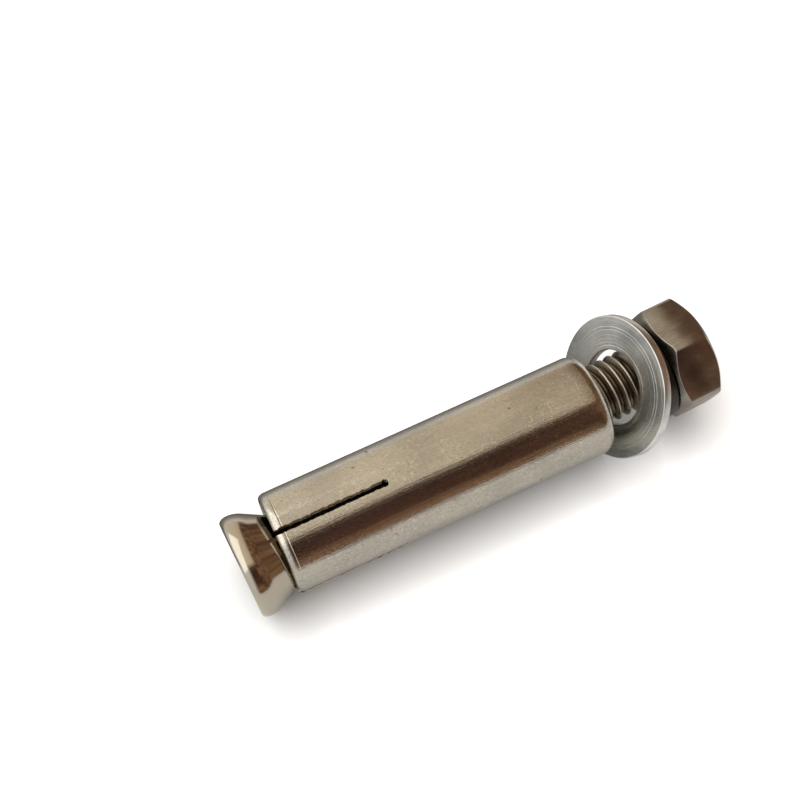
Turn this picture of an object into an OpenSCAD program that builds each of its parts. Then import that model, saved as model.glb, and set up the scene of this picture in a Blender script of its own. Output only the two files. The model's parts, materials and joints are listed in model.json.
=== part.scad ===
// Expansion bolt lying on its side, loosely put together as it comes out of the box.
// Five pieces: the cone bolt, the slotted expansion sleeve that hangs on it with some play, a flat
// washer that leans in the gap between sleeve and nut, a split spring washer and a hexagon nut.
// Each piece is modelled along the bolt's own axis, with the sleeve's nut end at zero, and then
// laid down on the rim of the cone and on the rim of the flat washer.

/* [Cone bolt] */
// Length of the thread that stands out of the nut
bolt_out = 0.5; // [0:0.1:20]
// Outer diameter of the thread
thread_d = 5.9; // [5:0.05:6]
// Length of the threaded part, from the free end
thread_l = 26; // [16:0.5:34]
// Depth of the plain shank below the thread's outer surface
shank_step = 0.3; // [0.2:0.05:0.5]
// Half angle of the cone
cone_angle = 30; // [26:0.5:32]
// Length of the cylindrical band at the rim, without its roundings
band_l = 0.3; // [0.2:0.1:0.8]
// Rounding between the band and the cone
cone_blend = 2.75; // [1:0.25:3.5]
// Rounding between the end face and the rim
rim_round = 0.5; // [0.3:0.1:1]
// Chamfer at the free end of the thread
thread_chamfer = 0.6; // [0.3:0.1:0.8]

/* [Expansion sleeve] */
// Outer diameter of the sleeve
sleeve_d = 9.8; // [9.6:0.05:10.2]
// Length of the sleeve
sleeve_l = 32.4; // [26:0.1:34]
// Wall thickness of the sleeve
sleeve_wall = 0.75; // [0.6:0.05:0.8]
// Inner rounding of the rolled end at the nut side
rolled_bend = 0.4; // [0.2:0.05:0.5]
// Rounding of the outer edge at the cone side
mouth_round = 0.45; // [0.1:0.05:0.5]
// Chamfer of the inner edge at the cone side
mouth_chamfer = 0.25; // [0.1:0.05:0.25]

/* [Slots] */
// Number of slots, an even number
slot_count = 4; // [2:2:6]
// Width of a slot
slot_w = 0.48; // [0.3:0.02:0.8]
// Length of a slot to the centre of its round end
slot_l = 10.6; // [8:0.1:14]
// Diameter of the round end of a slot
slot_end_d = 0.62; // [0.5:0.02:1]
// Turn of the first slot from the top of the sleeve
slot_turn = 11.3; // [0:0.1:45]

/* [Flat washer] */
// Outer diameter of the flat washer
washer_d = 13.7; // [12:0.1:14]
// Thickness of the flat washer
washer_t = 0.8; // [0.6:0.05:0.9]
// Chamfer left by the punch at the rim of one side
washer_edge = 0.1; // [0.05:0.05:0.3]
// Lean of the flat washer against the bolt's axis, its top towards the nut
washer_lean = 27; // [20:0.5:27]

/* [Spring washer] */
// Width of the ring across its section
spring_w = 1.6; // [1.2:0.05:1.8]
// Thickness of the ring along the bolt
spring_t = 1.1; // [1:0.05:1.6]
// How far one end of the split ring stands off the other
spring_set = 0.15; // [0.1:0.05:0.5]
// Opening of the split, as an angle
split_angle = 9; // [5:1:20]
// Turn of the split from the top
split_turn = -40; // [-180:5:180]

/* [Nut] */
// Width of the nut across its flats
nut_af = 10; // [9.5:0.1:11]
// Height of the nut
nut_h = 4.4; // [4:0.1:5.2]
// Distance of the chamfer's circle inside the flats, on both faces
nut_face_step = 0.35; // [0.1:0.05:0.5]
// Chamfer angle of the nut's corners
nut_chamfer_angle = 33; // [15:1:35]
// Depth of the countersink at both ends of the nut's thread
nut_sink = 0.4; // [0.2:0.05:0.6]
// Turn of one corner of the nut from the top
nut_turn = 18; // [0:1:60]

/* [Clearances] */
// Radial clearance between the thread and the nut
thread_clear = 0.05; // [0.02:0.01:0.1]
// Play of the sleeve's rolled end on the thread, across both
rolled_play = 0.8; // [0.3:0.05:0.8]
// Play of the flat washer's hole on the thread, across both
washer_play = 1.3; // [1.2:0.05:1.6]
// Play of the spring washer on the thread, across both
spring_play = 0.4; // [0.2:0.05:0.6]
// Gap between the cone and the bore at the sleeve's mouth, with both on one axis
mouth_gap = 0.64; // [0.5:0.02:0.7]
// What is left of that gap where the sleeve lies off the axis
mouth_clear = 0.08; // [0.06:0.01:0.2]
// Play between pieces that lean on or push each other
touch_clear = 0.03; // [0.02:0.01:0.05]
// Play in front of the spring washer
spring_clear = 0.05; // [0.05:0.01:0.2]

/* [Lie of the sleeve] */
// Direction in which its rolled end lies off the bolt's axis, from straight down to the near side
rolled_turn = 38; // [0:1:40]
// Direction in which its mouth lies off the bolt's axis, from straight down to the far side
mouth_turn = 85; // [80:1:90]

/* [Hidden] */
$fn = 96;
overlap = 1;
arc_steps = 8;
steel = "#b9b2a4";
washer_grey = "#c3c2ba";
nut_steel = "#9a8d7a";
spring_steel = "#8f897d";
bolt_steel = "#a69a86";

// Diameters that follow from the thread and from the sleeve; cone and sleeve go into one hole
shank_d = thread_d - 2 * shank_step;
rolled_hole_d = thread_d + rolled_play;
washer_hole_d = thread_d + washer_play;
spring_hole_d = thread_d + spring_play;
cone_d = sleeve_d;
sleeve_r = sleeve_d / 2;
bore_r = sleeve_r - sleeve_wall;
rolled_round = rolled_bend + sleeve_wall;

// The cone's flank, and how far the cone stands out of the sleeve when it just clears the bore
cone_start = rim_round + band_l;
flank_start = cone_start + cone_blend * tan(cone_angle / 2);
cone_reach = flank_start + (cone_d / 2 - bore_r + mouth_gap) / tan(cone_angle);
cone_x = -sleeve_l - cone_reach;

// The sleeve hangs off the bolt's axis by its play, at each end in its own direction
rolled_off = (rolled_hole_d - thread_d) / 2 - touch_clear;
mouth_off = mouth_gap - mouth_clear;
sleeve_end = [0, -rolled_off * sin(rolled_turn), -rolled_off * cos(rolled_turn)];
sleeve_dip = asin((rolled_off * cos(rolled_turn) - mouth_off * cos(mouth_turn)) / sleeve_l);
sleeve_yaw = -asin((rolled_off * sin(rolled_turn) + mouth_off * sin(mouth_turn)) / sleeve_l);
sleeve_axis = [cos(sleeve_dip) * cos(sleeve_yaw), cos(sleeve_dip) * sin(sleeve_yaw), -sin(sleeve_dip)];

// The leaning washer touches the round of the sleeve's rolled end, below the bolt
washer_axis = [cos(washer_lean), 0, -sin(washer_lean)];
touch_reach = (sleeve_end - rolled_round * sleeve_axis) * washer_axis + rolled_round
    + (sleeve_r - rolled_round) * sqrt(1 - pow(sleeve_axis * washer_axis, 2));
washer_slack = washer_hole_d / 2 * cos(washer_lean) - washer_t / 2 * sin(washer_lean) - thread_d / 2;
washer_z = -max(0, washer_slack - touch_clear / 2);
washer_x = (touch_reach + touch_clear + washer_t / 2 + washer_z * sin(washer_lean)) / cos(washer_lean);

// The spring washer hangs on the thread behind the top of the leaning washer
spring_d = spring_hole_d + 2 * spring_w;
spring_z = -(spring_hole_d - thread_d) / 2 + touch_clear;
spring_x = washer_x + spring_clear
    + (washer_t / 2 + sin(washer_lean) * (spring_d / 2 + spring_z - washer_z)) / cos(washer_lean);
nut_x = spring_x + spring_t + spring_set + touch_clear;
nut_ac = nut_af / cos(30);
bolt_l = nut_x + nut_h + bolt_out - cone_x;

// The bolt lies on the cone's rim and on the lowest point of the washer's rim
rim_x = cone_x + rim_round;
low_x = washer_x + washer_t / 2 * cos(washer_lean) - washer_d / 2 * sin(washer_lean);
low_z = washer_z - washer_t / 2 * sin(washer_lean) - washer_d / 2 * cos(washer_lean);
nose_down = atan((-low_z - cone_d / 2) / (low_x - rim_x));
lift = -(low_x * sin(nose_down) + low_z * cos(nose_down));
middle_x = (cone_x + cone_x + bolt_l) / 2 * cos(nose_down);

function arc(cx, cy, r, from, to) =
    [for (i = [0:arc_steps]) let (a = from + (to - from) * i / arc_steps) [cx + r * cos(a), cy + r * sin(a)]];

// Lays a piece from the bolt's own axis down on the surface
module lie() {
    translate([-middle_x, 0, lift]) rotate([0, -nose_down, 0]) children();
}

// Stands a turned piece along the bolt, at x and hanging z from the bolt's axis
module on_bolt(x, z = 0, turn = 0) {
    translate([x, 0, z]) rotate([turn, 0, 0]) rotate([0, 90, 0]) children();
}

// Headed bolt, turned in one piece: rim, cone, shank and threaded end
module cone_bolt() {
    rim_r = cone_d / 2;
    shank_r = shank_d / 2;
    thread_r = thread_d / 2;
    cone_end = flank_start + (rim_r - shank_r) / tan(cone_angle);
    thread_start = bolt_l - thread_l;
    run_out = thread_r - shank_r;
    color(bolt_steel) lie() on_bolt(cone_x) rotate_extrude() polygon(concat(
        [[0, 0]],
        arc(rim_r - rim_round, rim_round, rim_round, -90, 0),
        arc(rim_r - cone_blend, cone_start, cone_blend, 0, cone_angle),
        [
            [shank_r, cone_end],
            [shank_r, thread_start],
            [thread_r, thread_start + run_out],
            [thread_r, bolt_l - thread_chamfer],
            [thread_r - thread_chamfer, bolt_l],
            [0, bolt_l],
        ]
    ));
}

// Rolled tube, open at the cone side and drawn in over the bolt at the nut side
module sleeve_tube() {
    rotate_extrude() polygon(concat(
        [[bore_r + mouth_chamfer, 0]],
        arc(sleeve_r - mouth_round, mouth_round, mouth_round, -90, 0),
        arc(sleeve_r - rolled_round, sleeve_l - rolled_round, rolled_round, 0, 90),
        [
            [rolled_hole_d / 2, sleeve_l],
            [rolled_hole_d / 2, sleeve_l - sleeve_wall],
        ],
        arc(sleeve_r - rolled_round, sleeve_l - rolled_round, rolled_round - sleeve_wall, 90, 0),
        [[bore_r, mouth_chamfer]]
    ));
}

// Slots cut from the cone side, each pair by one cut across the tube, with round ends
module sleeve_slots() {
    for (i = [0:slot_count / 2 - 1]) rotate([0, 0, i * 360 / slot_count]) {
        translate([-sleeve_d, -slot_w / 2, -overlap]) cube([2 * sleeve_d, slot_w, slot_l + overlap]);
        translate([-sleeve_d, 0, slot_l]) rotate([0, 90, 0]) cylinder(h = 2 * sleeve_d, d = slot_end_d);
    }
}

module expansion_sleeve() {
    color(steel) lie() translate(sleeve_end) rotate([0, sleeve_dip, sleeve_yaw])
        on_bolt(-sleeve_l, 0, slot_turn) difference() {
            sleeve_tube();
            sleeve_slots();
        }
}

// Punched ring, with a small chamfer round the rim of the side that faces the sleeve
module flat_washer() {
    color(washer_grey) lie() translate([washer_x, 0, washer_z]) rotate([0, washer_lean, 0])
        rotate([0, 90, 0]) rotate_extrude() polygon([
            [washer_hole_d / 2, -washer_t / 2],
            [washer_d / 2 - washer_edge, -washer_t / 2],
            [washer_d / 2, -washer_t / 2 + washer_edge],
            [washer_d / 2, washer_t / 2],
            [washer_hole_d / 2, washer_t / 2],
        ]);
}

// Split ring wound left-hand from square wire, so that its ends bite when the nut turns loose
module spring_washer() {
    steps = 90;
    inner = spring_hole_d / 2;
    outer = inner + spring_w;
    sweep = 360 - split_angle;
    ring = [for (i = [0:steps])
        let (a = split_angle / 2 + sweep * i / steps, x = spring_set * (1 - i / steps))
        for (p = [[inner, 0], [outer, 0], [outer, spring_t], [inner, spring_t]])
            [p[0] * cos(a), p[0] * sin(a), x + p[1]]];
    sides = [for (i = [0:steps - 1], k = [0:3])
        [4 * i + k, 4 * i + 4 + k, 4 * i + 4 + (k + 1) % 4, 4 * i + (k + 1) % 4]];
    ends = [[0, 1, 2, 3], [4 * steps + 3, 4 * steps + 2, 4 * steps + 1, 4 * steps]];
    color(spring_steel) lie() on_bolt(spring_x, spring_z, split_turn + 180)
        polyhedron(points = ring, faces = concat(sides, ends));
}

// Hexagon nut, chamfered on both faces, with a countersunk thread
module hex_nut() {
    hole_r = thread_d / 2 + thread_clear;
    face_r = nut_af / 2 - nut_face_step;
    corner_r = nut_ac / 2 + overlap;
    chamfer = (corner_r - face_r) * tan(nut_chamfer_angle);
    color(nut_steel) lie() on_bolt(nut_x, 0, nut_turn + 180) difference() {
        intersection() {
            cylinder(h = nut_h, d = nut_ac, $fn = 6);
            rotate_extrude() polygon([
                [0, 0],
                [face_r, 0],
                [corner_r, chamfer],
                [corner_r, nut_h - chamfer],
                [face_r, nut_h],
                [0, nut_h],
            ]);
        }
        translate([0, 0, -overlap]) cylinder(h = nut_h + 2 * overlap, r = hole_r);
        rotate_extrude() polygon([
            [0, -overlap],
            [hole_r + nut_sink + overlap, -overlap],
            [hole_r, nut_sink],
            [0, nut_sink],
        ]);
        rotate_extrude() polygon([
            [0, nut_h - nut_sink],
            [hole_r, nut_h - nut_sink],
            [hole_r + nut_sink + overlap, nut_h + overlap],
            [0, nut_h + overlap],
        ]);
    }
}

cone_bolt();
expansion_sleeve();
flat_washer();
spring_washer();
hex_nut();
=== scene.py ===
import json
import math
import random

import bpy
from mathutils import Matrix, Vector, noise


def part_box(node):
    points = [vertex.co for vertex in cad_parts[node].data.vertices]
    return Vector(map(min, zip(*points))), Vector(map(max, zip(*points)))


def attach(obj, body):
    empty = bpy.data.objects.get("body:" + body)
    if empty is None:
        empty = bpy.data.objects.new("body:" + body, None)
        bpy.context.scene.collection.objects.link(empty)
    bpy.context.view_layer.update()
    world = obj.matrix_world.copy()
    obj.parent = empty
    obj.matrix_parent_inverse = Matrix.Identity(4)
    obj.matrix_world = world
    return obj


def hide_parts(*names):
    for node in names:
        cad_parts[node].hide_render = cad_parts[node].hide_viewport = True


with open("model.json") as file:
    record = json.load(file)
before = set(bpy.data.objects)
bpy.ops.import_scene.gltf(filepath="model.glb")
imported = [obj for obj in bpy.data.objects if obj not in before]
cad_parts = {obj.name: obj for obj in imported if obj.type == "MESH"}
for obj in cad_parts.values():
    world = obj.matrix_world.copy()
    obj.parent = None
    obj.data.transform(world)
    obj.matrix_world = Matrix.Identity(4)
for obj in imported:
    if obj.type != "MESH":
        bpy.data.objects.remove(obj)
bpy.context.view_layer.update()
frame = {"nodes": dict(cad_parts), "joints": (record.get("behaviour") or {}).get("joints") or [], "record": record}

# Cone bolt: a stud with a flared cone for a head, turned and thread-rolled in one piece from
# bright stainless bar. The nut draws the cone into the sleeve and so spreads it in the hole.
# Everything else hangs on this bolt, so its axis, taken from the nut's joint, places all pieces.
MM = 0.001
CLEAR = 0.00001 * MM
half_pi = math.pi / 2
joints = {joint["name"]: joint for joint in frame["joints"]}
mounts = {mount["name"]: mount for mount in frame["record"]["mounts"]}
along = Vector(joints["nut_turn"]["axis"]).normalized()
nut_middle = Vector(joints["nut_turn"]["pos_m"])
across = Vector((0, 1, 0))
bolt_up = along.cross(across)


def reach(node, direction, origin=nut_middle):
    """The lowest and highest place of a node along a direction, measured from a point."""
    places = [(vertex.co - origin).dot(direction) for vertex in frame["nodes"][node].data.vertices]
    return min(places), max(places)


def place(origin, x_axis, y_axis):
    """The matrix that lays a piece, modelled along its own X axis, where it belongs."""
    turned = Matrix((x_axis, y_axis, x_axis.cross(y_axis))).transposed()
    return Matrix.Translation(origin) @ turned.to_4x4()


head_face, free_end = reach("cone_bolt", along)
bolt_place = place(nut_middle + along * head_face, along, across)
bolt_l = free_end - head_face
rim_r = 4.9 * MM
rim_round = 0.5 * MM
band_l = 0.3 * MM
cone_blend = 2.75 * MM
cone_angle = math.radians(30)
shank_r = 2.65 * MM
shank_fillet = 0.5 * MM
thread_r = 2.95 * MM
root_r = 2.38 * MM
thread_l = 26 * MM
run_out_l = 2 * MM
end_chamfer = 0.6 * MM
pitch = 1 * MM
crest_w = 0.16 * MM
root_w = 0.2 * MM
thread_tilt = 0.03 * MM
turn_steps = 144
thread_steps = 72
turned_merge = 0.0001 * MM
thread_merge = 0.0005 * MM
steel_dull = (0.40, 0.365, 0.30)
steel_bright = (0.48, 0.435, 0.35)
# The next colour is painted shade, for the thread and most of all its roots.
thread_shade_dark = (0.09, 0.07, 0.042)


def activate(piece):
    """Makes one piece the active one and the only one that is selected."""
    bpy.ops.object.select_all(action="DESELECT")
    piece.select_set(True)
    bpy.context.view_layer.objects.active = piece


def edit_all():
    """Enters edit mode on the active piece, with everything selected."""
    bpy.ops.object.mode_set(mode="EDIT")
    bpy.ops.mesh.select_all(action="SELECT")


def face_outwards():
    """Turns every face of the edited piece outwards and leaves edit mode."""
    bpy.ops.mesh.select_all(action="SELECT")
    bpy.ops.mesh.normals_make_consistent(inside=False)
    bpy.ops.object.mode_set(mode="OBJECT")


def settle(piece, where):
    """Moves the active piece and leaves its new place in its mesh."""
    piece.matrix_world = where @ piece.matrix_world
    bpy.ops.object.transform_apply(location=True, rotation=True, scale=True)


def arc(x, r, size, start, end, steps=10):
    """Points (x, r) on a round of a profile; its angles start from the outward direction."""
    angles = [start + (end - start) * step / steps for step in range(steps + 1)]
    return [(x + size * math.sin(angle), r + size * math.cos(angle)) for angle in angles]


def profile_line(name, profile):
    """A chain of edges through the points (x, r), drawn by extruding one vertex."""
    bpy.ops.object.select_all(action="DESELECT")
    bpy.ops.mesh.primitive_plane_add(size=MM)
    piece = bpy.context.object
    piece.name = name
    bpy.ops.object.mode_set(mode="EDIT")
    bpy.ops.mesh.merge(type="CENTER")
    bpy.ops.transform.translate(value=(profile[0][0], 0, profile[0][1]))
    for (x, r), (next_x, next_r) in zip(profile, profile[1:]):
        bpy.ops.mesh.extrude_region_move(TRANSFORM_OT_translate={"value": (next_x - x, 0, next_r - r)})
    bpy.ops.object.mode_set(mode="OBJECT")
    return piece


def turn_on_lathe(name, profile):
    """Spins a profile round the X axis; where it meets the axis the poles are merged."""
    piece = profile_line(name, profile)
    edit_all()
    bpy.ops.mesh.spin(steps=turn_steps, angle=2 * math.pi, center=(0, 0, 0), axis=(1, 0, 0))
    bpy.ops.mesh.select_all(action="SELECT")
    bpy.ops.mesh.remove_doubles(threshold=turned_merge)
    face_outwards()
    return piece


def roll_thread(name, x_from, x_to, widen=0.0):
    """A right-hand screw surface, open at both ends and a turn or two too long each way."""
    flank = (pitch - crest_w - root_w) / 2
    start = math.floor(x_from / pitch) * pitch - pitch
    turns = math.ceil((x_to - start) / pitch) + 1
    crest, root = thread_r + widen, root_r + widen
    profile = [
        (start, root + thread_tilt),
        (start + root_w / 2, root),
        (start + root_w, root + thread_tilt),
        (start + root_w + flank * 0.5, (root + crest) / 2),
        (start + root_w + flank, crest - thread_tilt),
        (start + root_w + flank + crest_w / 2, crest),
        (start + root_w + flank + crest_w, crest - thread_tilt),
        (start + root_w + flank * 1.5 + crest_w, (root + crest) / 2),
        (start + pitch, root + thread_tilt),
    ]
    piece = profile_line(name, profile)
    screw = piece.modifiers.new("thread", "SCREW")
    screw.axis = "X"
    screw.angle = 2 * math.pi
    screw.screw_offset = pitch
    screw.iterations = turns
    screw.steps = screw.render_steps = thread_steps
    bpy.ops.object.modifier_apply(modifier=screw.name)
    edit_all()
    bpy.ops.mesh.remove_doubles(threshold=thread_merge)
    face_outwards()
    return piece


def cut_square(piece, x, keep_low, fill):
    """Cuts a piece off square to its own axis at x and keeps its lower or its higher side."""
    activate(piece)
    edit_all()
    bpy.ops.mesh.bisect(
        plane_co=(x, 0, 0),
        plane_no=(1, 0, 0),
        use_fill=fill,
        clear_inner=not keep_low,
        clear_outer=keep_low,
        threshold=CLEAR,
    )
    bpy.ops.object.mode_set(mode="OBJECT")


def lay_down(piece, where, corner_angle=30):
    """Moves a finished piece from its own axis to where it lies, and smooths all but its corners."""
    activate(piece)
    settle(piece, where)
    bpy.ops.object.shade_smooth_by_angle(angle=math.radians(corner_angle))


flank_x = rim_round + band_l + cone_blend * math.tan(cone_angle / 2)
cone_end = flank_x + (rim_r - shank_r) / math.tan(cone_angle)
fillet_reach = shank_fillet * math.tan(cone_angle / 2)
thread_start = bolt_l - thread_l
rim_stretch = (rim_round + band_l) / rim_round
rim = arc(rim_round, rim_r - rim_round, rim_round, -half_pi, 0, steps=16)
head_profile = (
    [(0, 0), (0, (rim_r - rim_round) / 2)]
    + [(x * rim_stretch, r) for x, r in rim[:-1]]
    + arc(rim_round + band_l, rim_r - cone_blend, cone_blend, 0, cone_angle)
    + [(cone_end - fillet_reach * math.cos(cone_angle), shank_r + fillet_reach * math.sin(cone_angle))]
    + [(cone_end + fillet_reach, shank_r), (thread_start, shank_r)]
)
bolt = turn_on_lathe("cone_bolt_turned", head_profile)
thread = roll_thread("cone_bolt_thread", thread_start, bolt_l)
# The thread rises out of the shank over its run-out and is chamfered at the free end.
for vertex in thread.data.vertices:
    x, y, z = vertex.co
    radius = math.hypot(y, z)
    rolled = min(max((x - thread_start) / run_out_l, 0), 1)
    wanted = shank_r + (radius - shank_r) * rolled * rolled * (3 - 2 * rolled)
    wanted = min(wanted, thread_r - end_chamfer + max(bolt_l - x, 0))
    vertex.co = (x, y * wanted / radius, z * wanted / radius)
cut_square(thread, thread_start + CLEAR, keep_low=False, fill=False)
cut_square(thread, bolt_l, keep_low=True, fill=True)
activate(bolt)
thread.select_set(True)
bpy.ops.object.join()
bpy.ops.object.mode_set(mode="EDIT")
bpy.ops.mesh.select_all(action="DESELECT")
bpy.ops.mesh.select_non_manifold()
bpy.ops.mesh.bridge_edge_loops()
face_outwards()
lay_down(bolt, bolt_place, corner_angle=35)


class Reading:
    """A number that varies over a surface; sums and products of readings add Math nodes."""

    def __init__(self, shading, socket):
        self.shading = shading
        self.socket = socket

    def maths(self, operation, first, second):
        node = self.shading.node("Math", {0: first, 1: second}, operation=operation)
        return Reading(self.shading, node.outputs[0])

    def __add__(self, other):
        return self.maths("ADD", self, other)

    def __sub__(self, other):
        return self.maths("SUBTRACT", self, other)

    def __mul__(self, other):
        return self.maths("MULTIPLY", self, other)

    def __truediv__(self, other):
        return self.maths("DIVIDE", self, other)

    def __rsub__(self, other):
        return self.maths("SUBTRACT", other, self)

    __radd__ = __add__
    __rmul__ = __mul__


class Shading:
    """A node tree that is filled by calls, and the patterns that run in its coordinates."""

    def __init__(self, tree):
        self.tree = tree
        self.coordinates = None

    def node(self, kind, sockets=None, **settings):
        """Adds a node: first its settings, then the values or links of its sockets."""
        node = self.tree.nodes.new("ShaderNode" + kind)
        for name, value in settings.items():
            setattr(node, name, value)
        for name, value in (sockets or {}).items():
            self.put(node, name, value)
        return node

    def put(self, node, name, value):
        """Links a reading or an output to a socket, or sets a plain value on it."""
        value = value.socket if isinstance(value, Reading) else value
        if isinstance(value, bpy.types.NodeSocket):
            self.tree.links.new(value, node.inputs[name])
        else:
            node.inputs[name].default_value = value

    def grain(self, scale, stretch=(1, 1, 1), detail=3, seed=0.0):
        """Noise from 0 to 1, with about so many spots to a unit; a small stretch draws it out."""
        longer = self.node("VectorMath", {0: self.coordinates, 1: stretch}, operation="MULTIPLY")
        moved = self.node("VectorMath", {0: longer.outputs[0], 1: (seed, seed, seed)}, operation="ADD")
        node = self.node("TexNoise", {"Vector": moved.outputs[0], "Scale": scale, "Detail": detail})
        return Reading(self, node.outputs[0])

    def between(self, reading, low, high, start=0.0, end=1.0):
        """A reading spread from low..high to start..end, and held there."""
        node = self.node("MapRange", {0: reading, 1: low, 2: high, 3: start, 4: end}, clamp=True)
        return Reading(self, node.outputs[0])

    def mixed(self, factor, first, second):
        """One colour laid over another by a reading."""
        first, second = ((*c, 1) if isinstance(c, tuple) else c for c in (first, second))
        return self.node("Mix", {0: factor, 6: first, 7: second}, data_type="RGBA").outputs[2]


class Finish(Shading):
    """The metal finish of one piece; its patterns run in the piece's own millimetres, X along it."""

    def __init__(self, name, where):
        self.material = bpy.data.materials.new(name)
        self.material.use_nodes = True
        super().__init__(self.material.node_tree)
        self.shader = self.tree.nodes["Principled BSDF"]
        in_place = {
            "Vector": self.node("TexCoord").outputs["Object"],
            "Location": where.to_translation(),
            "Rotation": where.to_euler(),
            "Scale": (MM, MM, MM),
        }
        self.coordinates = self.node("Mapping", in_place, vector_type="TEXTURE").outputs[0]
        self.x = Reading(self, self.node("SeparateXYZ", {0: self.coordinates}).outputs[0])
        sideways = self.node("VectorMath", {0: self.coordinates, 1: (0, 1, 1)}, operation="MULTIPLY")
        off_axis = self.node("VectorMath", {0: sideways.outputs[0]}, operation="LENGTH")
        self.radius = Reading(self, off_axis.outputs[1])

    def done(self, piece, color, roughness, height, depth):
        """Sets the metal's sockets, with a bump of so many millimetres, and puts it on the piece."""
        bump = self.node("Bump", {"Height": height, "Distance": depth * MM, "Strength": 1.0})
        self.shader.inputs["Metallic"].default_value = 1.0
        self.put(self.shader, "Base Color", color)
        self.put(self.shader, "Roughness", roughness)
        self.put(self.shader, "Normal", bump.outputs[0])
        piece.data.materials.clear()
        piece.data.materials.append(self.material)


bolt_finish = Finish("turned_bright_steel", bolt_place)
thread_fades_in = (thread_start / MM, thread_start / MM + 1)
thread_fades_out = (bolt_l / MM - 0.08, bolt_l / MM - 0.02)
threaded = (
    bolt_finish.between(bolt_finish.x, *thread_fades_in)
    * bolt_finish.between(bolt_finish.x, *thread_fades_out, 1, 0)
)
crests = bolt_finish.between(bolt_finish.radius, root_r / MM + 0.1, thread_r / MM - 0.1)
# Painted shade: the colour darkens a little over the whole thread and most towards its roots.
painted_root_shade = threaded * (1 - crests)
tool_marks = bolt_finish.grain(1.1, stretch=(1, 0.35, 0.35), detail=3, seed=3.0)
turned_rings = bolt_finish.grain(9, stretch=(1, 0.05, 0.05), detail=2)
thread_grit = bolt_finish.grain(7, detail=3, seed=7.0)
turned_steel = bolt_finish.mixed(tool_marks, steel_dull, steel_bright)
bolt_finish.done(
    bolt,
    color=bolt_finish.mixed(painted_root_shade * 0.75 + threaded * 0.15, turned_steel, thread_shade_dark),
    roughness=0.1 + tool_marks * 0.08 + threaded * 0.08 + threaded * thread_grit * 0.15,
    height=turned_rings * 0.15 + tool_marks * 0.6 + threaded * thread_grit * 0.5,
    depth=0.008,
)
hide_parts("cone_bolt")
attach(bolt, "bolt")

# Expansion sleeve: sheet steel drawn to a tube, with its nut end rolled in over the bolt and four
# slots sawn from the cone end, between which it spreads. It hangs loosely on the bolt, a little
# askew, and shows the long grain, pits and small rust specks of the drawn sheet. Its small bright
# glints are painted highlights in its colour.
hole = mounts["wall_hole"]
sleeve_along = -Vector(hole["axis"]).normalized()
sleeve_side = bolt_up.cross(sleeve_along).normalized()
mouth, rolled_end = reach("expansion_sleeve", sleeve_along, Vector(hole["pos_m"]))
sleeve_place = place(Vector(hole["pos_m"]) + sleeve_along * mouth, sleeve_along, sleeve_side)
sleeve_l = rolled_end - mouth
sleeve_r = hole["dims"]["r_mm"] * MM
wall = 0.75 * MM
bore_r = sleeve_r - wall
rolled_bend = 0.4 * MM
rolled_round = rolled_bend + wall
rolled_hole_r = 3.35 * MM
edge_round = 0.12 * MM
mouth_round = 0.45 * MM
mouth_taper = 1.6
mouth_chamfer = 0.25 * MM
groove_w = 0.12 * MM
groove_depth = 0.025 * MM
edge_land = 0.03 * MM
wall_rings = 28
slot_count = 4
slot_w = 0.48 * MM
slot_l = 10.6 * MM
slot_end_r = 0.31 * MM
slot_turn = math.radians(11.3)
slot_step = 0.16 * MM
saw_wander = 0.035 * MM
slot_flare_depth = 0.07 * MM
slot_flare = 1.3
overhang = 0.6 * MM
dent_depth = 0.008 * MM
dent_size = 4 * MM
dent_stretch = 3
sheet_dark = (0.35, 0.33, 0.285)
sheet_light = (0.52, 0.49, 0.42)
# The next colour is a painted highlight, for the sheet's glints.
painted_glint_color = (0.68, 0.65, 0.56)
rust_brown = (0.20, 0.10, 0.05)

groove_x = mouth_round * mouth_taper + edge_land
wall_start = groove_x + groove_w + edge_land
straight = [
    (wall_start + (sleeve_l - rolled_round - wall_start) * step / wall_rings, sleeve_r)
    for step in range(1, wall_rings)
]
lip = [
    (x * mouth_taper, r) for x, r in arc(mouth_round, sleeve_r - mouth_round, mouth_round, -half_pi, 0)
]
groove = [
    (groove_x, sleeve_r),
    (groove_x + groove_w / 2, sleeve_r - groove_depth),
    (groove_x + groove_w, sleeve_r),
    (wall_start, sleeve_r),
]
sleeve_profile = (
    lip
    + groove
    + straight
    + arc(sleeve_l - rolled_round, sleeve_r - rolled_round, rolled_round, 0, half_pi)
    + arc(sleeve_l - edge_round, rolled_hole_r + edge_round, edge_round, half_pi, math.pi, steps=4)
    + [(sleeve_l - wall, rolled_hole_r)]
    + arc(sleeve_l - rolled_round, sleeve_r - rolled_round, rolled_bend, half_pi, 0, steps=6)
    + [(mouth_chamfer, bore_r), (0, bore_r + mouth_chamfer)]
)
sleeve_profile.append(sleeve_profile[0])
sleeve = turn_on_lathe("expansion_sleeve_slotted", sleeve_profile)
# Faint dents, drawn out along the sleeve.
for vertex in sleeve.data.vertices:
    x, y, z = vertex.co
    swell = 1 + dent_depth / sleeve_r * noise.noise(Vector((x / dent_stretch, y, z)) / dent_size)
    vertex.co = (x, y * swell, z * swell)

wander = random.Random(4)


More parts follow.
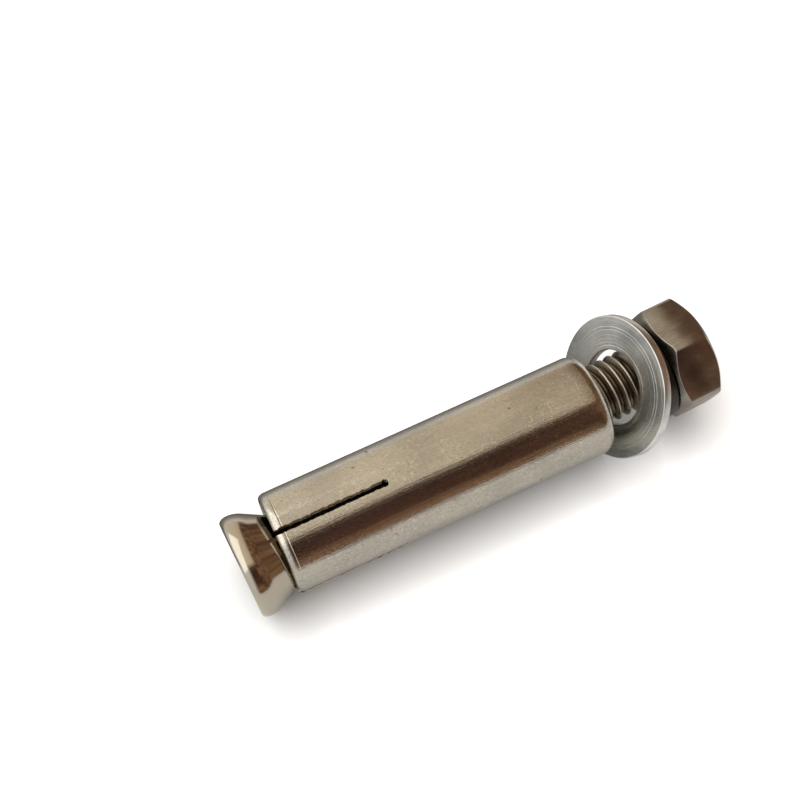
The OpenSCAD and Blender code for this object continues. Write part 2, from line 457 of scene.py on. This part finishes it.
def saw_slot(turn):
    """A saw cut with a wandering edge and a round end; it widens a little at the outer surface."""
    steps = round((slot_l + overhang) / slot_step)
    ends = math.asin(slot_w / 2 / slot_end_r)
    sawn_l = slot_l - slot_end_r + overhang
    side = [(-overhang + sawn_l * step / steps, slot_w / 2) for step in range(steps)]
    near = [(x, r + wander.uniform(-1, 1) * saw_wander) for x, r in side]
    far = [(x, -r + wander.uniform(-1, 1) * saw_wander) for x, r in reversed(side)]
    round_end = arc(slot_l, 0, slot_end_r, ends - half_pi, 3 * half_pi - ends, steps=16)
    outline = near + round_end + far
    cutter = profile_line("saw_cut", outline + [outline[0]])
    edit_all()
    bpy.ops.mesh.remove_doubles(threshold=CLEAR)
    bpy.ops.mesh.select_all(action="SELECT")
    bpy.ops.mesh.edge_face_add()
    bpy.ops.transform.translate(value=(0, sleeve_r - 2 * wall, 0))
    bpy.ops.mesh.extrude_region_move(TRANSFORM_OT_translate={"value": (0, 2 * wall - slot_flare_depth, 0)})
    bpy.ops.mesh.extrude_region_move(TRANSFORM_OT_translate={"value": (0, 2 * slot_flare_depth, 0)})
    bpy.ops.transform.resize(value=(1, 1, 1 + 2 * (slot_flare - 1)), center_override=(0, sleeve_r, 0))
    bpy.ops.mesh.extrude_region_move(TRANSFORM_OT_translate={"value": (0, wall, 0)})
    face_outwards()
    settle(cutter, Matrix.Rotation(half_pi + turn, 4, "X"))
    return cutter


def carve(piece, tool, operation="DIFFERENCE"):
    """Cuts a piece with a tool, or keeps what both share; the tool is then gone."""
    activate(piece)
    cut = piece.modifiers.new("cut", "BOOLEAN")
    cut.operation = operation
    cut.solver = "EXACT"
    cut.object = tool
    bpy.ops.object.modifier_apply(modifier=cut.name)
    bpy.data.objects.remove(tool)


for slot in range(slot_count):
    carve(sleeve, saw_slot(slot_turn + slot * 2 * math.pi / slot_count))
lay_down(sleeve, sleeve_place)

sleeve_finish = Finish("drawn_sheet_steel", sleeve_place)
drawn_lines = sleeve_finish.grain(5, stretch=(0.015, 1, 1), detail=4)
long_grain = sleeve_finish.grain(9, stretch=(0.12, 1, 1), detail=3, seed=2.0)
pits = sleeve_finish.grain(9, stretch=(0.6, 1, 1), detail=2, seed=8.0)
flecks = sleeve_finish.grain(5, stretch=(0.6, 1, 1), detail=4, seed=17.0)
clouds = sleeve_finish.grain(0.35, stretch=(0.5, 1, 1), detail=3, seed=5.0)
rust = sleeve_finish.between(sleeve_finish.grain(1.6, detail=5, seed=11.0), 0.68, 0.74)
sheet_play = sleeve_finish.between(clouds * 0.45 + flecks * 0.35 + drawn_lines * 0.2, 0.36, 0.66)
sheet = sleeve_finish.mixed(sheet_play, sheet_dark, sheet_light)
# Painted highlights: small bright glints mixed into the sheet's colour.
painted_glints = (
    sleeve_finish.between(sleeve_finish.grain(5, stretch=(0.8, 1, 1), detail=2, seed=23.0), 0.5, 0.78)
    * sleeve_finish.between(sleeve_finish.grain(0.3, seed=31.0), 0.38, 0.54)
)
sheet_with_painted_glints = sleeve_finish.mixed(painted_glints * 0.65, sheet, painted_glint_color)
sleeve_finish.done(
    sleeve,
    color=sleeve_finish.mixed(rust * 0.7, sheet_with_painted_glints, rust_brown),
    roughness=0.12 + sleeve_finish.between(pits, 0.3, 0.75) * 0.12 + rust * 0.3,
    height=drawn_lines * 1.3 + long_grain * 0.3 + sleeve_finish.between(pits, 0.35, 0.65) * 0.3,
    depth=0.008,
)
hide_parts("expansion_sleeve")
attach(sleeve, "sleeve")

# Flat washer: a ring punched from sheet and faced on a lathe, whose fine rings show in its light.
# It is loose between sleeve and nut and leans on the sleeve's rolled end and on the bolt.
washer_along = -Vector(mounts["fixture_face"]["axis"]).normalized()
washer_low, washer_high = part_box("flat_washer")
washer_middle = (washer_low + washer_high) / 2
washer_place = place(washer_middle, washer_along, across)
washer_front, washer_back = reach("flat_washer", washer_along, washer_middle)
washer_r = reach("flat_washer", across, washer_middle)[1]
washer_hole_r = 3.6 * MM
punched_round = 0.12 * MM
washer_edge = 0.05 * MM
ring_pitch = 0.1 * MM
ring_depth = 0.016 * MM
washer_dark = (0.43, 0.445, 0.43)
washer_light = (0.76, 0.77, 0.74)

facing = random.Random(9)


def faced(x, start, end, inward):
    """Points along a face that a lathe tool has left with fine rings."""
    count = round(abs(end - start) / ring_pitch) * 2
    return [
        (x + inward * ring_depth * facing.random() * (step % 2), start + (end - start) * step / count)
        for step in range(1, count)
    ]


front_x = washer_front + punched_round
front_in = washer_hole_r + punched_round
front_out = washer_r - punched_round
back_x = washer_back - washer_edge
back_in = washer_hole_r + washer_edge
back_out = washer_r - washer_edge
washer_profile = (
    arc(front_x, front_in, punched_round, math.pi, 1.5 * math.pi, steps=4)
    + faced(washer_front, front_in, front_out, 1)
    + arc(front_x, front_out, punched_round, -half_pi, 0, steps=4)
    + arc(back_x, back_out, washer_edge, 0, half_pi, steps=3)
    + faced(washer_back, back_out, back_in, -1)
    + arc(back_x, back_in, washer_edge, half_pi, math.pi, steps=3)
)
washer_profile.append(washer_profile[0])
washer = turn_on_lathe("flat_washer_punched", washer_profile)
lay_down(washer, washer_place)

washer_finish = Finish("faced_sheet_steel", washer_place)
washer_grit = washer_finish.grain(9, detail=4)
washer_clouds = washer_finish.grain(0.22, detail=3, seed=2.0)
washer_finish.done(
    washer,
    color=washer_finish.mixed(
        washer_finish.between(washer_clouds, 0.38, 0.62), washer_dark, washer_light
    ),
    roughness=washer_finish.between(washer_grit, 0.3, 0.7, 0.26, 0.36),
    height=washer_grit,
    depth=0.004,
)
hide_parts("flat_washer")
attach(washer, "washer")

# Spring washer: a length of square wire wound to one turn and cut through, so that its two ends
# stand a little off each other and press on the nut. It hangs on the thread in front of the nut.
spring_front, spring_back = reach("spring_washer", along)
spring_low, spring_high = reach("spring_washer", bolt_up)
spring_hole_r = 3.15 * MM
spring_r = (spring_high - spring_low) / 2
spring_set = 0.15 * MM
spring_t = spring_back - spring_front - spring_set
split = math.radians(9)
split_turn = math.radians(-40)
wire_round = 0.15 * MM
# The wire's two colours are painted shade: almost black, as the gap between flat washer and nut.
wire_shade_black = (0.03, 0.027, 0.023)
wire_shade_grey = (0.075, 0.067, 0.058)
spring_middle = nut_middle + along * spring_front + bolt_up * (spring_low + spring_high) / 2
spring_place = place(spring_middle, along, across)

wire_front = spring_set + wire_round
wire_back = spring_set + spring_t - wire_round
wire_profile = (
    arc(wire_front, spring_hole_r + wire_round, wire_round, math.pi, 1.5 * math.pi, steps=4)
    + arc(wire_front, spring_r - wire_round, wire_round, -half_pi, 0, steps=4)
    + arc(wire_back, spring_r - wire_round, wire_round, 0, half_pi, steps=4)
    + arc(wire_back, spring_hole_r + wire_round, wire_round, half_pi, math.pi, steps=4)
)
wire_profile.append(wire_profile[0])
spring = profile_line("spring_washer_wound", wire_profile)
edit_all()
bpy.ops.mesh.remove_doubles(threshold=CLEAR)
bpy.ops.object.mode_set(mode="OBJECT")
# The wire's section is wound to one turn less the split, and both ends are closed.
coil = spring.modifiers.new("coil", "SCREW")
coil.axis = "X"
coil.angle = 2 * math.pi - split
coil.screw_offset = -spring_set
coil.steps = coil.render_steps = turn_steps
bpy.ops.object.modifier_apply(modifier=coil.name)
edit_all()
bpy.ops.mesh.fill_holes(sides=0)
face_outwards()
lay_down(spring, spring_place @ Matrix.Rotation(split_turn + split / 2, 4, "X"))

spring_finish = Finish("wound_wire_steel", spring_place)
wire_grain = spring_finish.grain(6, detail=4)
spring_finish.done(
    spring,
    color=spring_finish.mixed(wire_grain, wire_shade_black, wire_shade_grey),
    roughness=spring_finish.between(wire_grain, 0.3, 0.7, 0.26, 0.4),
    height=wire_grain,
    depth=0.006,
)
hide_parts("spring_washer")
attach(spring, "spring_ring")

# Hexagon nut: pressed from bar, chamfered on both faces and tapped. Its thread runs in the bolt's,
# one millimetre to a turn.
nut_place = place(nut_middle, along, across)
nut_front, nut_back = reach("hex_nut", along)
nut_af = 10 * MM
nut_ac = nut_af / math.cos(math.pi / 6)
nut_turn = math.radians(18)
nut_face_step = 0.35 * MM
chamfer_angle = math.radians(33)
nut_edge_round = 0.45 * MM
chamfer_round = 0.12 * MM
nut_sink = 0.4 * MM
tap_clear = 0.05 * MM
spare = 1 * MM
nut_dark = (0.23, 0.205, 0.18)
nut_light = (0.36, 0.335, 0.29)

bpy.ops.object.select_all(action="DESELECT")
bpy.ops.mesh.primitive_cylinder_add(
    vertices=6, radius=nut_ac / 2, depth=nut_back - nut_front + 2 * spare
)
nut = bpy.context.object
nut.name = "hex_nut_tapped"
settle(nut, Matrix.Rotation(nut_turn + half_pi, 4, "X") @ Matrix.Rotation(half_pi, 4, "Y"))
long_edges = nut.modifiers.new("long_edges", "BEVEL")
long_edges.width = nut_edge_round
long_edges.segments = 4
long_edges.limit_method = "ANGLE"
long_edges.angle_limit = math.radians(40)
bpy.ops.object.modifier_apply(modifier=long_edges.name)
# The blank keeps what it shares with a turned form, and so gets both its chamfers.
face_r = nut_af / 2 - nut_face_step
corner_r = nut_ac / 2 + spare
chamfer = (corner_r - face_r) * math.tan(chamfer_angle)
chamfer_profile = [
    (nut_front, 0),
    (nut_front, face_r),
    (nut_front + chamfer, corner_r),
    (nut_back - chamfer, corner_r),
    (nut_back, face_r),
    (nut_back, 0),
]
carve(nut, turn_on_lathe("chamfers", chamfer_profile), "INTERSECT")
soft_edges = nut.modifiers.new("soft_edges", "BEVEL")
soft_edges.width = chamfer_round
soft_edges.segments = 2
soft_edges.limit_method = "ANGLE"
soft_edges.angle_limit = math.radians(25)
bpy.ops.object.modifier_apply(modifier=soft_edges.name)
tap = roll_thread("tap", nut_front - head_face, nut_back - head_face, widen=tap_clear)
cut_square(tap, nut_front - head_face - spare, keep_low=False, fill=True)
cut_square(tap, nut_back - head_face + spare, keep_low=True, fill=True)
settle(tap, Matrix.Translation((head_face, 0, 0)))
carve(nut, tap)
hole_r = thread_r + tap_clear
sink_reach = nut_sink + hole_r - root_r
for face, outward in ((nut_front, -1), (nut_back, 1)):
    sink_profile = [
        (face + outward * spare, 0),
        (face + outward * spare, hole_r + nut_sink + spare),
        (face - outward * sink_reach, root_r),
        (face - outward * sink_reach, 0),
    ]
    carve(nut, turn_on_lathe("countersink", sink_profile))
lay_down(nut, nut_place)

nut_finish = Finish("pressed_nut_steel", nut_place)
nut_grain = nut_finish.grain(5, detail=4)
nut_clouds = nut_finish.grain(0.5, detail=3, seed=6.0)
nut_lines = nut_finish.grain(7, stretch=(0.1, 1, 1), detail=3, seed=12.0)
nut_play = nut_finish.between(nut_clouds * 0.55 + nut_lines * 0.35 + nut_grain * 0.1, 0.36, 0.64)
nut_finish.done(
    nut,
    color=nut_finish.mixed(nut_play, nut_dark, nut_light),
    roughness=nut_finish.between(nut_clouds, 0.3, 0.7, 0.2, 0.28),
    height=nut_grain * 0.1 + nut_lines * 0.4 + nut_clouds * 0.8,
    depth=0.008,
)
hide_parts("hex_nut")
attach(nut, "nut")

# Studio: a pale floor, a wide soft lamp and what the bright steel mirrors: a warm ceiling, darker
# to the right, a dark front with red streaks, brown wood at the right and low in front, and white
# at the left. Floor and backdrop are white to the camera; the metal mirrors the floor with a
# painted shadow in a strip behind the bolt.
floor_size = 1.2
floor_white = (0.68, 0.7, 0.71)
# The next colour is a painted shadow, for the floor strip behind the bolt.
painted_shadow_dark = (0.15, 0.14, 0.125)
floor_glow = 0.7
glow_in_metal = 0.4
shade_reach = 5 * MM
behind_begins = (2 * MM, 7 * MM)
behind_ends = (9 * MM, 45 * MM)
lamp_middle = Vector((-0.32, 0.12, 0.36))
lamp_w = 0.8
lamp_h = 0.55
lamp_power = 1.5
ceiling = (1.0, 0.88, 0.73)
ceiling_right = (0.86, 0.72, 0.56)
dark_front = (0.055, 0.034, 0.025)
red_front = (0.18, 0.064, 0.04)
wood = (0.43, 0.24, 0.135)
dark_wood = (0.10, 0.055, 0.036)
white = (1, 1, 1)
black = (0, 0, 0)
ceiling_fades_east = (0.08, 0.3)
wood_begins_east = (0.27, 0.36)
white_begins_west = (0.15, 0.5)
front_begins_degrees = (20, 29)
low_wood_begins_degrees = (66, 74)

bpy.ops.object.select_all(action="DESELECT")
bpy.ops.mesh.primitive_plane_add(size=floor_size)
floor = bpy.context.object
floor.name = "floor"
floor_paint = bpy.data.materials.new("floor_white")
floor_paint.use_nodes = True
floor.data.materials.append(floor_paint)
floor_shading = Shading(floor_paint.node_tree)
floor_shader = floor_paint.node_tree.nodes["Principled BSDF"]
ray = floor_shading.node("LightPath").outputs
direct = Reading(floor_shading, ray["Is Camera Ray"])
mirrored = Reading(floor_shading, ray["Is Glossy Ray"])
through = Reading(floor_shading, ray["Is Transmission Ray"])
floor_spot = floor_shading.node("TexCoord").outputs["Object"]
floor_y = Reading(floor_shading, floor_shading.node("SeparateXYZ", {0: floor_spot}).outputs[1])
# Painted shadow: a dark strip of floor behind the bolt, seen only in the metal's reflections.
painted_shadow_behind = (
    floor_shading.between(floor_y, *behind_begins)
    * floor_shading.between(floor_y, *behind_ends, 1, 0)
    * mirrored
)
seen = direct + through + (mirrored - painted_shadow_behind) * glow_in_metal
near_bolt = floor_shading.node("AmbientOcclusion", {"Distance": shade_reach})
open_sky = Reading(floor_shading, near_bolt.outputs["AO"])
floor_shading.put(floor_shader, "Base Color", floor_shading.mixed(painted_shadow_behind, floor_white, painted_shadow_dark))
floor_shading.put(floor_shader, "Roughness", 0.9)
floor_shading.put(floor_shader, "Specular IOR Level", 0.0)
glow = seen * open_sky * open_sky * floor_glow
floor_shading.put(floor_shader, "Emission Color", floor_shading.mixed(glow, black, white))
floor_shading.put(floor_shader, "Emission Strength", 1.0)

bpy.ops.object.light_add(type="AREA", location=lamp_middle)
lamp = bpy.context.object
lamp.name = "soft_lamp"
lamp.rotation_mode = "QUATERNION"
lamp.rotation_quaternion = (-lamp_middle).to_track_quat("-Z", "Y")
lamp.data.shape = "RECTANGLE"
lamp.data.size = lamp_w
lamp.data.size_y = lamp_h
lamp.data.energy = lamp_power

scene = bpy.context.scene
scene.view_settings.view_transform = "Standard"
world = bpy.data.worlds.new("studio")
world.use_nodes = True
scene.world = world
studio = Shading(world.node_tree)
studio.coordinates = studio.node("TexCoord").outputs["Generated"]
directions = studio.node("SeparateXYZ", {0: studio.coordinates}).outputs
east, north, up = (Reading(studio, direction) for direction in directions)
# Round the bolt's axis, 0.5 is straight up and a whole turn adds 1.
round_the_bolt = up.maths("ARCTAN2", -1 * north, up) / (2 * math.pi) + 0.5


def frontwards(limits):
    """Angles in front of straight up, in degrees, on the scale of round_the_bolt."""
    return [0.5 + limit / 360 for limit in limits]


front_streaks = studio.between(studio.grain(2.2, stretch=(0.35, 4, 4), detail=3, seed=6.0), 0.48, 0.62)
wood_streaks = studio.between(studio.grain(1.9, stretch=(0.4, 5, 5), detail=4), 0.38, 0.64)
above = studio.mixed(studio.between(east, *ceiling_fades_east), ceiling, ceiling_right)
in_front = studio.mixed(front_streaks, dark_front, red_front)
wooden = studio.mixed(wood_streaks, dark_wood, wood)
front_edge = studio.between(round_the_bolt, *frontwards(front_begins_degrees))
low_edge = studio.between(round_the_bolt, *frontwards(low_wood_begins_degrees))
wood_edge = low_edge.maths("MAXIMUM", low_edge, studio.between(east, *wood_begins_east))
ceiling_and_front = studio.mixed(front_edge, above, in_front)
without_white = studio.mixed(wood_edge, ceiling_and_front, wooden)
surroundings = studio.mixed(studio.between(-1 * east, *white_begins_west), without_white, white)
backdrop = studio.mixed(studio.node("LightPath").outputs["Is Camera Ray"], surroundings, white)
studio.put(world.node_tree.nodes["Background"], "Color", backdrop)

camera_place = Vector((-28.617, -47.638, 113.249)) * MM
camera_azimuth = math.radians(23.991)
camera_down = math.radians(60.234)
camera_roll = math.radians(-3.248)
image_w = 800
focal_px = 1300
sensor_w = 36
looking = Vector((
    math.sin(camera_azimuth) * math.cos(camera_down),
    math.cos(camera_azimuth) * math.cos(camera_down),
    -math.sin(camera_down),
))
bpy.ops.object.camera_add(location=camera_place)
camera = bpy.context.object
camera.rotation_mode = "QUATERNION"
camera.rotation_quaternion = looking.to_track_quat("-Z", "Y")
camera.rotation_quaternion @= Matrix.Rotation(camera_roll, 3, "Z").to_quaternion()
camera.data.sensor_width = sensor_w
camera.data.lens = sensor_w * focal_px / image_w
camera.data.clip_start = 0.005
scene.camera = camera
